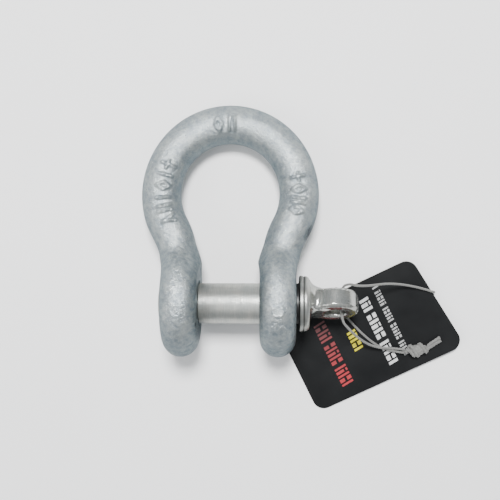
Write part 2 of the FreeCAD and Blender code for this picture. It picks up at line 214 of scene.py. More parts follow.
def cut(obj, cutter):
    """Takes the cutter's solid out of the object."""
    boolean = obj.modifiers.new("cut", "BOOLEAN")
    boolean.operation = "DIFFERENCE"
    boolean.solver = "EXACT"
    boolean.object = cutter
    apply_modifiers(obj)
    bpy.data.objects.remove(cutter)
    obj.data.shade_smooth()
    obj.data.set_sharp_from_angle(angle=math.radians(40))


# ---------------------------------------------------------------- materials

def new_material(name, **values):
    """A node material; the given values are set on its Principled shader."""
    material = bpy.data.materials.new(name)
    material.use_nodes = True
    shader = material.node_tree.nodes["Principled BSDF"]
    for socket, value in values.items():
        shader.inputs[socket.replace("_", " ")].default_value = value
    return material, material.node_tree, shader


def place_node(tree):
    """Where each point lies on its object, in metres."""
    return tree.nodes.new("ShaderNodeTexCoord").outputs["Object"]


def noise(tree, place, scale, detail=4.0, roughness=0.6, stretch=(1, 1, 1)):
    """A noise whose scale is in cells per millimetre."""
    mapping = tree.nodes.new("ShaderNodeMapping")
    mapping.inputs["Scale"].default_value = tuple(scale * way / MM for way in stretch)
    tree.links.new(place, mapping.inputs["Vector"])
    node = tree.nodes.new("ShaderNodeTexNoise")
    node.inputs["Scale"].default_value = 1.0
    node.inputs["Detail"].default_value = detail
    node.inputs["Roughness"].default_value = roughness
    tree.links.new(mapping.outputs["Vector"], node.inputs["Vector"])
    return node.outputs["Fac"]


def ramp(tree, value, *stops):
    """A colour ramp with stops given as (position, colour)."""
    node = tree.nodes.new("ShaderNodeValToRGB")
    elements = node.color_ramp.elements
    while len(elements) < len(stops):
        elements.new(0.5)
    for element, (position, colour) in zip(elements, stops):
        element.position = position
        element.color = (*colour, 1)
    tree.links.new(value, node.inputs["Fac"])
    return node.outputs["Color"]


def grey(level):
    return (level, level, level)


def mixed(tree, factor, first, second, kind="MIX"):
    """Two colours mixed; the factor and either colour may be a value or a socket."""
    node = tree.nodes.new("ShaderNodeMix")
    node.data_type = "RGBA"
    node.blend_type = kind
    for socket, value in (("Factor", factor), ("A", first), ("B", second)):
        target = [s for s in node.inputs if s.name == socket and s.enabled][0]
        if isinstance(value, bpy.types.NodeSocket):
            tree.links.new(value, target)
        else:
            target.default_value = value if socket == "Factor" else (*value, 1)
    return [s for s in node.outputs if s.enabled][0]


def bumped(tree, shader, *layers):
    """Bump from layers of (height, depth in millimetres)."""
    normal = None
    for height, depth in layers:
        node = tree.nodes.new("ShaderNodeBump")
        node.inputs["Strength"].default_value = 1.0
        node.inputs["Distance"].default_value = depth * MM
        tree.links.new(height, node.inputs["Height"])
        if normal is not None:
            tree.links.new(normal, node.inputs["Normal"])
        normal = node.outputs["Normal"]
    tree.links.new(normal, shader.inputs["Normal"])


# Dark spots on the zinc: black grease on the outside of the right neck, and painted shade on the left ear's
# inner face beside its hole, where the pin enters the ear.
GREASE_AND_SHADE_SPOTS = [((20.2, 16.8, -1.5), 6.0), ((-7.6, -3.6, 8.6), 1.8)]


def grease_and_shade_blot(tree, place, centre, radius):
    """A factor of 1 at the centre that breaks up in blots towards the radius, in millimetres."""
    away = tree.nodes.new("ShaderNodeVectorMath")
    away.operation = "DISTANCE"
    away.inputs[1].default_value = tuple(x * MM for x in centre)
    tree.links.new(place, away.inputs[0])
    blots = tree.nodes.new("ShaderNodeMath")
    blots.operation = "MULTIPLY_ADD"
    blots.inputs[1].default_value = -1 / (radius * MM)
    tree.links.new(away.outputs["Value"], blots.inputs[0])
    tree.links.new(noise(tree, place, 1.3, detail=6, roughness=0.75, stretch=(1, 0.5, 1)), blots.inputs[2])
    return ramp(tree, blots.outputs["Value"], (0.0, grey(0)), (0.3, grey(0.95)))


def painted_side_shade(tree):
    """Painted shade: the colour is darker round the bow's sides, where the surface faces sideways within the
    bow's plane, and full where it faces up or down out of it.
    """
    facing = tree.nodes.new("ShaderNodeVectorMath")
    facing.operation = "DOT_PRODUCT"
    facing.inputs[1].default_value = (0, -math.sin(SLOPE), math.cos(SLOPE))
    tree.links.new(tree.nodes.new("ShaderNodeTexCoord").outputs["Normal"], facing.inputs[0])
    either_way = tree.nodes.new("ShaderNodeMath")
    either_way.operation = "ABSOLUTE"
    tree.links.new(facing.outputs["Value"], either_way.inputs[0])
    return ramp(tree, either_way.outputs["Value"], (0.0, (0.46, 0.50, 0.52)), (0.45, (0.66, 0.69, 0.71)),
                (0.85, grey(1.0)))


def galvanised_steel():
    """Hot-dip zinc: light bluish grey, softly mottled, finely pitted, with painted shade darkening the bow's
    sides.
    """
    material, tree, shader = new_material("galvanised_steel", Metallic=0.8, Specular_IOR_Level=0.3,
                                          Specular_Tint=(0.35, 0.38, 0.40, 1))
    place = place_node(tree)
    clouds = noise(tree, place, 0.22, detail=3)
    mottle = noise(tree, place, 0.9, detail=5, roughness=0.7)
    grain = noise(tree, place, 2.6, detail=4, roughness=0.7)
    base = ramp(tree, clouds, (0.3, (0.29, 0.33, 0.35)), (0.7, (0.41, 0.44, 0.44)))
    spots = ramp(tree, mottle, (0.35, (0.70, 0.73, 0.76)), (0.62, (1.18, 1.17, 1.14)))
    colour = mixed(tree, 0.9, base, spots, "MULTIPLY")
    # painted shade: the bow's sides are darkened
    colour = mixed(tree, 1.0, colour, painted_side_shade(tree), "MULTIPLY")
    # black grease on the right neck; the spot beside the left ear's hole is painted shade
    for centre, radius in GREASE_AND_SHADE_SPOTS:
        colour = mixed(tree, grease_and_shade_blot(tree, place, centre, radius), colour, (0.05, 0.055, 0.06))
    tree.links.new(colour, shader.inputs["Base Color"])
    rough = mixed(tree, 0.5, ramp(tree, mottle, (0.3, grey(0.46)), (0.7, grey(0.22))),
                  ramp(tree, grain, (0.3, grey(0.46)), (0.7, grey(0.22))))
    tree.links.new(rough, shader.inputs["Roughness"])
    bumped(tree, shader, (clouds, 0.30), (mottle, 0.20), (grain, 0.15))
    return material


def collar_painted_shade(tree, place):
    """Painted shade along the pin's X: black in the gap between the right ear and the collar, dark in the
    groove of the collar's rim, and a little darker over the rest of the collar.
    """
    split = tree.nodes.new("ShaderNodeSeparateXYZ")
    tree.links.new(place, split.inputs["Vector"])
    along = tree.nodes.new("ShaderNodeMapRange")
    along.inputs["From Min"].default_value = (COLLAR_FACE - 1.6) * MM
    along.inputs["From Max"].default_value = COLLAR_BACK * MM
    tree.links.new(split.outputs["X"], along.inputs["Value"])
    stops = ((0.0, 0), (0.16, 0.92), (0.40, 0.92), (0.44, 0.30),
             (0.60, 0.30), (0.66, 0.80), (0.73, 0.35), (1.0, 0))
    return ramp(tree, along.outputs["Result"], *((position, grey(level)) for position, level in stops))


def turned_steel(name, roughest, smoothest, ring_depth):
    """Zinc over turned steel: fine rings round the pin, small speckles, and painted shade by the collar."""
    material, tree, shader = new_material(name, Metallic=0.85, Specular_Tint=(0.6, 0.6, 0.6, 1))
    place = place_node(tree)
    rings = noise(tree, place, 1.0, detail=4, roughness=0.7, stretch=(6.0, 0.35, 0.35))
    clouds = noise(tree, place, 0.35, detail=3)
    grain = noise(tree, place, 4.5, detail=3, roughness=0.7)
    base = ramp(tree, clouds, (0.3, (0.38, 0.40, 0.39)), (0.7, (0.50, 0.50, 0.46)))
    colour = mixed(tree, 0.8, base, ramp(tree, rings, (0.3, grey(0.74)), (0.7, grey(1.12))), "MULTIPLY")
    # painted shade: black in the gap beside the collar and in the groove of its rim
    colour = mixed(tree, collar_painted_shade(tree, place), colour, (0.03, 0.03, 0.032))
    tree.links.new(colour, shader.inputs["Base Color"])
    rough = mixed(tree, 0.5, ramp(tree, rings, (0.3, grey(roughest)), (0.7, grey(smoothest))),
                  ramp(tree, grain, (0.3, grey(roughest)), (0.7, grey(smoothest))))
    tree.links.new(rough, shader.inputs["Roughness"])
    bumped(tree, shader, (clouds, 0.10), (rings, ring_depth), (grain, 0.02))
    return material


def black_card():
    """Printed card with a semi-gloss coating that lies a little unevenly."""
    material, tree, shader = new_material("black_card", Specular_IOR_Level=0.15)
    place = place_node(tree)
    clouds = noise(tree, place, 0.08, detail=2)
    fibres = noise(tree, place, 2.2, detail=4, roughness=0.65)
    tree.links.new(ramp(tree, clouds, (0.3, (0.004, 0.0045, 0.005)), (0.7, (0.009, 0.0095, 0.010))),
                   shader.inputs["Base Color"])
    tree.links.new(ramp(tree, fibres, (0.3, grey(0.46)), (0.7, grey(0.34))), shader.inputs["Roughness"])
    bumped(tree, shader, (clouds, 0.25), (fibres, 0.006))
    return material


def card_core():
    """The cut edge of the card: grey-brown board."""
    material, tree, shader = new_material("card_core", Roughness=0.85)
    fibres = noise(tree, place_node(tree), 3.0, detail=4, roughness=0.7)
    tree.links.new(ramp(tree, fibres, (0.3, (0.16, 0.145, 0.125)), (0.7, (0.30, 0.275, 0.24))),
                   shader.inputs["Base Color"])
    bumped(tree, shader, (fibres, 0.02))
    return material


def ink(name, worn, full, faded=None):
    """Printing ink, slightly worn. With a faded colour, its row fades towards the tag's upper edge."""
    material, tree, shader = new_material(name, Roughness=0.42)
    place = place_node(tree)
    wear = noise(tree, place, 1.4, detail=5, roughness=0.7)
    colour = ramp(tree, wear, (0.32, worn), (0.62, full))
    if faded:
        upward = tree.nodes.new("ShaderNodeVectorMath")
        upward.operation = "DOT_PRODUCT"
        direction = TAG_PLACE.to_3x3() @ Vector((0, 1, 0)) / (TAG_WIDTH * MM)
        upward.inputs[1].default_value = direction
        tree.links.new(place, upward.inputs[0])
        low_end = (TAG_PLACE @ Vector((0, -TAG_WIDTH / 2, 0))).dot(direction) * MM
        share = tree.nodes.new("ShaderNodeMath")
        share.operation = "SUBTRACT"
        share.inputs[1].default_value = low_end
        tree.links.new(upward.outputs["Value"], share.inputs[0])
        fade = ramp(tree, share.outputs["Value"], (0.25, grey(0)), (0.75, grey(1)))
        colour = mixed(tree, fade, colour, faded)
    tree.links.new(colour, shader.inputs["Base Color"])
    bumped(tree, shader, (wear, 0.004))
    return material


def white_cord():
    """Twisted off-white cord with soft fibres."""
    material, tree, shader = new_material("white_cord", Roughness=0.8, Sheen_Weight=0.25)
    fibres = noise(tree, place_node(tree), 3.0, detail=5, roughness=0.7)
    tree.links.new(ramp(tree, fibres, (0.3, (0.10, 0.10, 0.096)), (0.7, (0.21, 0.21, 0.20))),
                   shader.inputs["Base Color"])
    bumped(tree, shader, (fibres, 0.03))
    return material


STEEL = galvanised_steel()
TURNED = turned_steel("turned_steel", 0.48, 0.26, 0.05)
HEAD = turned_steel("polished_steel", 0.20, 0.09, 0.01)
CARD = black_card()
CORE = card_core()
CORD = white_cord()


def finished(obj, materials, body):
    """Gives a piece its materials, and lets it move with a body, if one is given."""
    obj.data.materials.clear()
    for material in materials if isinstance(materials, (list, tuple)) else [materials]:
        obj.data.materials.append(material)
    if body:
        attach(obj, body)


# ---------------------------------------------------------------- cord and knot

# The route from the knot to the eye, through it, over the tag's right edge, back under the tag,
# up through the tag's hole and along the tag to the knot.
CORD_ROUTE = [
    (44.1, -13.3, -10.0),
    (41.2, -13.0, -10.2),
    (38.0, -13.0, -9.9),
    (34.5, -11.7, -8.4),
    (31.4, -9.2, -5.6),
    (29.0, -6.4, -1.4),
    (27.0, -3.9, 1.0),
    (27.0, 3.9, -1.4),
    (28.9, 5.2, 1.6),
    (30.4, 4.9, 4.2),
    (34.0, 4.5, 0.6),
    (38.0, 4.3, -4.6),
    (42.5, 3.7, -8.2),
    (46.5, 2.8, -9.9),
    (49.4, 2.0, -10.3),
    (50.9, 1.5, -10.35),
    (51.6, 1.3, -11.4),
    (50.9, 1.2, -12.55),
    (48.5, 0.8, -12.6),
    (43.0, 0.0, -12.6),
    (37.0, -1.0, -12.6),
    (32.0, -1.9, -12.6),
    (29.5, -2.2, -12.6),
    (28.2, -2.8, -11.7),
    (28.6, -4.3, -10.7),
    (30.6, -6.7, -11.1),
    (33.4, -9.6, -11.0),
    (36.6, -12.2, -10.9),
    (40.0, -13.8, -10.7),
    (44.3, -14.2, -10.2),
]
KNOT_PLACE = Vector((47.1, -13.4, -9.7))
KNOT_TURN = math.radians(8)
KNOT_SIZE = (2.9, 2.05, 1.4)


def smooth_line(route):
    """Points along a NURBS spline whose control points are the route."""
    data = bpy.data.curves.new("route", "CURVE")
    data.dimensions = "3D"
    data.resolution_u = 24
    spline = data.splines.new("NURBS")
    spline.points.add(len(route) - 1)
    for point, place in zip(spline.points, route):
        point.co = (*[x * MM for x in place], 1)
    spline.order_u = 3
    spline.use_endpoint_u = True
    holder = bpy.data.objects.new("route", data)
    bpy.context.collection.objects.link(holder)
    mesh = bpy.data.meshes.new_from_object(holder.evaluated_get(bpy.context.evaluated_depsgraph_get()))
    points = [vertex.co / MM for vertex in mesh.vertices]
    bpy.data.objects.remove(holder)
    return points


def even_line(points, spacing):
    """The same line with its points evenly spaced."""
    line = np.array([tuple(point) for point in points])
    travelled = np.concatenate([[0], np.cumsum(np.linalg.norm(np.diff(line, axis=0), axis=1))])
    wanted = np.linspace(0, travelled[-1], max(int(travelled[-1] / spacing), 8))
    return np.stack([np.interp(wanted, travelled, line[:, k]) for k in range(3)], axis=1)


def frames(line):
    """Two directions square to the line at each point, which turn with it as little as possible."""
    way = np.gradient(line, axis=0)
    way /= np.linalg.norm(way, axis=1)[:, None]
    side = np.cross(way[0], (0, 0, 1) if abs(way[0][2]) < 0.9 else (1, 0, 0))
    sides = []
    for direction in way:
        side = side - direction * side.dot(direction)
        side /= np.linalg.norm(side)
        sides.append(side)
    sides = np.array(sides)
    return sides, np.cross(way, sides)


STRANDS, STRAND_SIDES, STRAND_SPACING = 3, 8, 0.14
STRAND_OFFSET, STRAND_RADIUS = 0.46, 0.54   # as shares of the cord's radius


def twisted(name, points, radius, turn_length=1.9):
    """A cord of strands wound round each other along a line."""
    line = even_line(points, STRAND_SPACING)
    side, other = frames(line)
    travelled = np.arange(len(line)) * np.linalg.norm(line[1] - line[0])
    vertices, faces = [], []
    for strand in range(STRANDS):
        angle = 2 * math.pi * (travelled / turn_length + strand / STRANDS)
        offset = np.cos(angle)[:, None] * side + np.sin(angle)[:, None] * other
        centre = line + STRAND_OFFSET * radius * offset
        start = len(vertices)
        for k in range(len(line)):
            for n in range(STRAND_SIDES):
                turn = 2 * math.pi * n / STRAND_SIDES
                out = math.cos(turn) * side[k] + math.sin(turn) * other[k]
                vertices.append(centre[k] + STRAND_RADIUS * radius * out)
        last = start + (len(line) - 1) * STRAND_SIDES
        faces += grid_faces(len(line), STRAND_SIDES, closed_columns=True, start=start)
        faces.append(tuple(start + n for n in reversed(range(STRAND_SIDES))))
        faces.append(tuple(last + n for n in range(STRAND_SIDES)))
    return new_object(name, vertices, faces, 180)


# The knot is a plain core with the cord's two ends wound round it. These are shares of its size.
KNOT_CORE = 0.70
WRAP_SPAN, WRAP_WIDTH, WRAP_HEIGHT, WRAP_ROUNDING = 1.9, 0.80, 0.76, 0.6
KNOT_WRAPS = 1.6
END_SHIFT, END_RADIUS, END_TURN_LENGTH = 0.45, 1.3 * CORD_RADIUS, 2.4
TAILS = [
    [(50.2, -12.7, -9.7), (51.6, -11.9, -10.1), (53.2, -10.95, -10.35)],
    [(49.9, -12.0, -9.6), (51.2, -11.3, -10.0), (52.9, -10.15, -10.35)],
]


def knot_line(start_turn, shift):
    """One end of the cord: in at the knot's left, wound round its middle, out at its right."""
    place = Matrix.Translation(KNOT_PLACE) @ Matrix.Rotation(KNOT_TURN, 4, "Z")
    points = []
    for k in range(17):
        share = k / 16
        turn = start_turn + 2 * math.pi * KNOT_WRAPS * share
        swell = math.sin(math.pi * share) ** WRAP_ROUNDING
        point = Vector((KNOT_SIZE[0] * (WRAP_SPAN * share - 1.0) + shift * swell,
                        WRAP_WIDTH * KNOT_SIZE[1] * swell * math.cos(turn),
                        WRAP_HEIGHT * KNOT_SIZE[2] * swell * math.sin(turn)))
        points.append(tuple(place @ point))
    return points


def make_knot():
    """The knot that holds the cord's two ends together, with their cut tails."""
    bpy.ops.mesh.primitive_ico_sphere_add(subdivisions=5, radius=MM)
    core = bpy.context.object
    core.data.transform(Matrix.Translation(KNOT_PLACE * MM) @ Matrix.Rotation(KNOT_TURN, 4, "Z")
                        @ Matrix.Diagonal((*[KNOT_CORE * size for size in KNOT_SIZE], 1)))
    core.data.shade_smooth()
    parts = [core]
    for number, tail in enumerate(TAILS):
        shift = END_SHIFT * (1 - 2 * number)
        line = smooth_line(knot_line(math.pi * number, shift) + tail)
        parts.append(twisted(f"end_{number}", line, END_RADIUS, END_TURN_LENGTH))
    return joined("knot", parts)


def make_cord():
    """The cord and its knot; the knot moves with the tag."""
    line = smooth_line(CORD_ROUTE)
    cord = twisted("tie", line, CORD_RADIUS)
    knot = make_knot()
    finished(knot, CORD, "tag")
    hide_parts("tie_knot")
    finished(cord, CORD, None)
    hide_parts("tie_cord")
    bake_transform(cord)


make_cord()


# ---------------------------------------------------------------- bow

def bow_plane(points):
    """Turns points from the world into the bow's own U, V and W."""
    x, y, z = points.T
    return x, y * math.cos(SLOPE) + z * math.sin(SLOPE), z * math.cos(SLOPE) - y * math.sin(SLOPE)


def from_bow_plane(u, v, w):
    """Turns points from the bow's own U, V and W into the world."""
    y = v * math.cos(SLOPE) - w * math.sin(SLOPE)
    z = v * math.sin(SLOPE) + w * math.cos(SLOPE)
    return np.stack([u, y, z], axis=-1)


CROWN_CENTRE = (0.0, CROWN_REACH - CROWN_ARC)
SIDE_CENTRE = (math.sin(CROWN_SWEEP) * (CROWN_ARC - SIDE_ARC),
               CROWN_CENTRE[1] + math.cos(CROWN_SWEEP) * (CROWN_ARC - SIDE_ARC))
NECK_CENTRE = (SIDE_CENTRE[0] + math.cos(NECK_SWING) * (SIDE_ARC + NECK_ARC),
               SIDE_CENTRE[1] - math.sin(NECK_SWING) * (SIDE_ARC + NECK_ARC))


def bar_distance(u, v, w):
    """Distance to the bar: oval at its feet, round from the necks to the crown."""
    u = np.abs(u)

    def to_arc(centre, radius, low, high):
        angle = np.arctan2(v - centre[1], u - centre[0])
        if low >= 0:
            angle = angle % (2 * math.pi)
        angle = np.clip(angle, low, high)
        return np.hypot(u - centre[0] - radius * np.cos(angle), v - centre[1] - radius * np.sin(angle))

    crown = to_arc(CROWN_CENTRE, CROWN_ARC, CROWN_SWEEP, math.pi / 2)
    side = to_arc(SIDE_CENTRE, SIDE_ARC, -NECK_SWING, CROWN_SWEEP)
    neck = to_arc(NECK_CENTRE, NECK_ARC, math.pi - NECK_SWING, math.pi)
    leg = np.hypot(u - LEG, v - np.clip(v, 0, NECK_CENTRE[1]))
    away = np.minimum(np.minimum(crown, side), np.minimum(neck, leg))
    foot = eased(np.clip((FOOT_START - v) / FOOT_LENGTH, 0, 1))
    round_part = BAR_NECK + (BAR_CROWN - BAR_NECK) * np.clip((v - TAPER_START) / TAPER_LENGTH, 0, 1)
    wide = round_part + (FOOT_HALF_WIDTH - BAR_NECK) * foot
    high = round_part + (FOOT_HALF_HEIGHT - BAR_NECK) * foot
    ring = np.hypot(away / wide, w / high)
    return (ring - 1) * np.minimum(wide, high)


def ear_distance(u, v, w):
    """Distance to the nearer ear: a flat disc with a fully rounded rim."""
    out = np.maximum(np.hypot(v, w) - (EAR_RADIUS - EAR_HALF), 0)
    return np.hypot(out, np.abs(u) - LEG) - EAR_HALF


# Raised forging marks, as strokes in their own frame: across the bar, then along it. They are
# plain generic shapes. Each mark has its place on an arc of the bar, in degrees, and an offset.
MARK_HEIGHT, MARK_REACH, STROKE_HALF, STROKE_EDGE = 0.42, 3.0, 0.34, 0.30
BAR_MARK = [((-1.6, 0.0), (1.6, 0.0))]
DOUBLE_BAR = [((-1.6, -0.6), (1.6, -0.6)), ((-1.6, 0.6), (1.6, 0.6))]
CHEVRON = [((-1.6, -0.7), (1.5, 0.0)), ((1.5, 0.0), (-1.6, 0.7))]
DIAMOND_CORNERS = [(-1.6, 0.0), (0.0, -0.9), (1.6, 0.0), (0.0, 0.9)]
DIAMOND = list(zip(DIAMOND_CORNERS, DIAMOND_CORNERS[1:] + DIAMOND_CORNERS[:1]))
CROSS_BAR = [((-1.6, 0.0), (1.6, 0.0)), ((0.2, -0.9), (0.2, 0.9))]
SIDE_MARKS = [
    (-1, 23, -0.8, CROSS_BAR),
    (-1, 14, -0.9, BAR_MARK),
    (-1, 5, -0.9, DIAMOND),
    (-1, -5, -0.9, BAR_MARK),
    (-1, -14, -0.8, DOUBLE_BAR),
    (-1, -24, -0.8, CHEVRON),
    (1, 12, -0.2, CROSS_BAR),
    (1, 2, -0.2, DIAMOND),
    (1, -7, -0.2, DOUBLE_BAR),
    (1, -15, -0.2, DIAMOND),
]
CROWN_MARKS = [
    (100, -0.6, DIAMOND),
    (88, -0.6, DOUBLE_BAR),
]
# A low ring on top of each ear.
EAR_RING_PLACE, EAR_RING_RADIUS, EAR_RING_RISE = -2.2, 1.3, 0.35


def stroke_distance(a, b, start, end):
    """Distance from the points (a, b) to a straight stroke."""
    way = (end[0] - start[0], end[1] - start[1])
    share = ((a - start[0]) * way[0] + (b - start[1]) * way[1]) / (way[0] ** 2 + way[1] ** 2)
    share = np.clip(share, 0, 1)
    return np.hypot(a - start[0] - share * way[0], b - start[1] - share * way[1])


def marks(u, v):
    """How far each point is up on a forging mark, from 0 beside it to 1 on top."""
    height = np.zeros(len(u))
    placed = [(side, SIDE_CENTRE, SIDE_ARC, *rest) for side, *rest in SIDE_MARKS]
    placed += [(1, CROWN_CENTRE, CROWN_ARC, *rest) for rest in CROWN_MARKS]
    for side, centre, radius, degrees, offset, strokes in placed:
        angle = math.radians(degrees)
        out = (math.cos(angle), math.sin(angle))
        du = side * u - centre[0] - (radius + offset) * out[0]
        dv = v - centre[1] - (radius + offset) * out[1]
        a, b = du * out[0] + dv * out[1], dv * out[0] - du * out[1]
        near = np.hypot(a, b) < MARK_REACH
        away = np.min([stroke_distance(a[near], b[near], *ends) for ends in strokes], axis=0)
        rise = np.clip((STROKE_HALF + STROKE_EDGE - away) / (2 * STROKE_EDGE), 0, 1)
        height[near] = np.maximum(height[near], eased(rise))
    ring = np.abs(np.hypot(np.abs(u) - LEG, v - EAR_RING_PLACE) - EAR_RING_RADIUS)
    return height + EAR_RING_RISE * np.clip(1 - ring / STROKE_HALF, 0, 1)


SHOULDER_FILLET = 3.0
FACE_EDGE, FACE_FALL = 0.3, 0.5


def bow_distance(points):
    """Distance to the whole forging: bar and ears run together, ears' faces kept flat, marks raised."""
    u, v, w = bow_plane(points)
    bare = soft_min(bar_distance(u, v, w), ear_distance(u, v, w), SHOULDER_FILLET)
    past_flat = np.maximum(np.hypot(v, w) - (EAR_RADIUS - EAR_HALF), 0)
    flat = np.abs(np.abs(u) - LEG) - EAR_HALF - FACE_FALL * past_flat
    bare = soft_max(bare, flat, FACE_EDGE)
    return bare - MARK_HEIGHT * marks(u, v) * (w > 0)


def arc_points(centre, radius, first, last, steps):
    """Points along an arc in the bow's plane, without its first one."""
    angles = [first + (last - first) * k / steps for k in range(1, steps + 1)]
    return [(centre[0] + radius * math.cos(a), centre[1] + radius * math.sin(a)) for a in angles]


def rough_bow():
    """A coarse closed tube and two coarse discs, a little fat, for the skin to start from."""
    line = [(LEG, k * NECK_CENTRE[1] / 24) for k in range(25)]
    line += arc_points(NECK_CENTRE, NECK_ARC, math.pi, math.pi - NECK_SWING, 24)
    line += arc_points(SIDE_CENTRE, SIDE_ARC, -NECK_SWING, CROWN_SWEEP, 48)
    line += arc_points(CROWN_CENTRE, CROWN_ARC, CROWN_SWEEP, math.pi / 2, 24)
    line += [(-u, v) for u, v in reversed(line[:-1])]
    flat = np.array([(u, v, 0.0) for u, v in line])
    way = np.gradient(flat, axis=0)
    way /= np.linalg.norm(way, axis=1)[:, None]
    across = np.stack([way[:, 1], -way[:, 0], np.zeros(len(way))], axis=1)
    around, fat = 32, 4.8
    rings = []
    for k in range(around):
        angle = 2 * math.pi * k / around
        rings.append(flat + fat * (math.cos(angle) * across + math.sin(angle) * np.array([0, 0, 1])))
    points = np.stack(rings, axis=1).reshape(-1, 3)
    faces = grid_faces(len(flat), around, closed_columns=True)
    faces.append(tuple(reversed(range(around))))
    faces.append(tuple((len(flat) - 1) * around + k for k in range(around)))
    tube = new_object("rough_bar", from_bow_plane(*points.T), faces)
    discs = []
    for side in (-1, 1):
        middle, flat_radius = side * LEG, EAR_RADIUS - EAR_HALF
        rim = [(middle + EAR_HALF * math.cos(a), flat_radius + EAR_HALF * math.sin(a))
               for a in np.linspace(math.pi, 0, 13)]
        outline = [(middle - EAR_HALF, 0.01), *rim, (middle + EAR_HALF, 0.01)]
        discs.append(lathe(f"rough_ear_{side}", outline, 64))
    return joined("bow", [tube, *discs])


def hole_cutter(name, outline):
    """A solid of revolution about the pin's axis."""
    return lathe(name, [(outline[0][0], 0.0), *outline, (outline[-1][0], 0.0)], 96)


def make_bow():
    """The forging, with its clear hole on the right and its tapped, countersunk hole on the left."""
    bow = shaped(rough_bow(), bow_distance, BOW_VOXEL)
    inner, outer, ease, beyond = LEG - EAR_HALF, LEG + EAR_HALF, HOLE_EASE, 3.0
    bore = THREAD + THREAD_CLEARANCE
    cut(bow, hole_cutter("clear_hole", [
        (beyond, CLEAR_HOLE + ease), (inner, CLEAR_HOLE + ease), (inner + ease, CLEAR_HOLE),
        (outer - ease, CLEAR_HOLE), (outer, CLEAR_HOLE + ease), (outer + beyond, CLEAR_HOLE + ease)]))
    cut(bow, hole_cutter("tapped_hole", [
        (-outer - beyond, bore + ease), (-outer, bore + ease), (-outer + ease, bore),
        (-inner - COUNTERSINK_DEPTH, bore), (-inner, COUNTERSINK), (-beyond, COUNTERSINK)]))
    finished(bow, STEEL, "shackle")
    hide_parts("shackle_bow")


make_bow()


STEPS_PER_TURN = 24


def thread_radius(turns, crest, depth):
    """Radius of a V thread at a place counted in turns, with its groove at whole numbers."""
    away = np.abs((turns + 0.5) % 1.0 - 0.5) * PITCH
    rise = np.clip((away - PITCH / 16) * math.tan(math.radians(60)), 0, depth)
    return crest - depth + rise


def thread_points(start, end, around, shape):
    """Rings of points from start to end; shape turns a place and the thread's radius there into a radius."""
    places = np.linspace(start, end, int((end - start) / PITCH * STEPS_PER_TURN))
    points = []
    for x in places:
        for k in range(around):
            share = k / around
            angle = 2 * math.pi * share - math.pi / 2
            radius = shape(x, thread_radius((x - PIN_TIP) / PITCH - share, THREAD, THREAD_DEPTH))
            points.append((x, radius * math.cos(angle), radius * math.sin(angle)))
    return points, len(places)


def make_tapped_thread():
    """The thread inside the left ear, which fades out at both ends."""
    start, end, fade = -LEG - EAR_HALF + 0.3, -LEG + EAR_HALF - COUNTERSINK_DEPTH, 0.4

    def shape(x, radius):
        ends = min(1.0, (x - start) / fade, (end - x) / fade)
        radius = radius + THREAD_CLEARANCE
        return THREAD + THREAD_CLEARANCE + 0.02 + (radius - THREAD - THREAD_CLEARANCE) * ends

    points, rows = thread_points(start, end, 96, shape)
    thread = new_object("tapped_thread", points, grid_faces(rows, 96, closed_columns=True), 180)
    finished(thread, TURNED, "shackle")


make_tapped_thread()


# ---------------------------------------------------------------- pin

def make_shank():
    """Shank, relief groove and collar, as turned."""
    shoulder = THREAD_START - 0.1
    rim = COLLAR_FACE + COLLAR_RIM
    back = COLLAR_BACK
    inside = THREAD_END - 0.2
    outline = [
        (inside, 0.0), (inside, THREAD_RELIEF), (shoulder - 0.25, THREAD_RELIEF), (shoulder, 4.05),
        (THREAD_START, SHANK - 0.25),
        (THREAD_START + 0.1, SHANK - 0.07), (THREAD_START + 0.25, SHANK),
        (COLLAR_FACE - 0.5, SHANK), (COLLAR_FACE - 0.15, SHANK + 0.08), (COLLAR_FACE, SHANK + 0.35),
        (COLLAR_FACE, COLLAR_RADIUS - 0.25), (COLLAR_FACE + 0.08, COLLAR_RADIUS - 0.08),
        (COLLAR_FACE + 0.25, COLLAR_RADIUS), (rim - 0.2, COLLAR_RADIUS), (rim - 0.06, COLLAR_RADIUS - 0.06),
        (rim, COLLAR_RADIUS - 0.28), (rim + 0.12, COLLAR_RADIUS - 0.3), (rim + 0.22, COLLAR_RADIUS - 0.14),
        (rim + 0.4, COLLAR_RADIUS - 0.08), (back - 0.7, COLLAR_RADIUS - 0.12),
        (back - 0.45, COLLAR_RADIUS - 0.22), (back - 0.1, COLLAR_RADIUS - 0.55),
        (back, COLLAR_RADIUS - 0.75), (back, 0.0),
    ]
    return lathe("shank", outline, 160, 30)


TIP_CHAMFER, RUN_OUT = 0.9, 0.7


def make_thread():
    """The pin's threaded end, with a chamfered tip."""
    def shape(x, radius):
        tip = THREAD - TIP_CHAMFER + (x - PIN_TIP)
        return min(radius, tip, max(THREAD_RELIEF, THREAD - (x - THREAD_END + RUN_OUT)))

    points, rows = thread_points(PIN_TIP, THREAD_END, 128, shape)
    points = [(PIN_TIP, 0.0, 0.0)] * 128 + points
    return new_object("thread", points, grid_faces(rows + 1, 128, closed_columns=True), 40)


FLARE_RISE, FLARE_LENGTH = 2.4, 1.05
FACE_START, FACE_SLOPE = EYE_PLACE - 1.05 * EYE_RADIUS, 1.6
EYE_ROUNDING, NECK_FILLET, FACED_EDGE, HOLE_EDGE = 0.45, 1.0, 0.4, 0.3


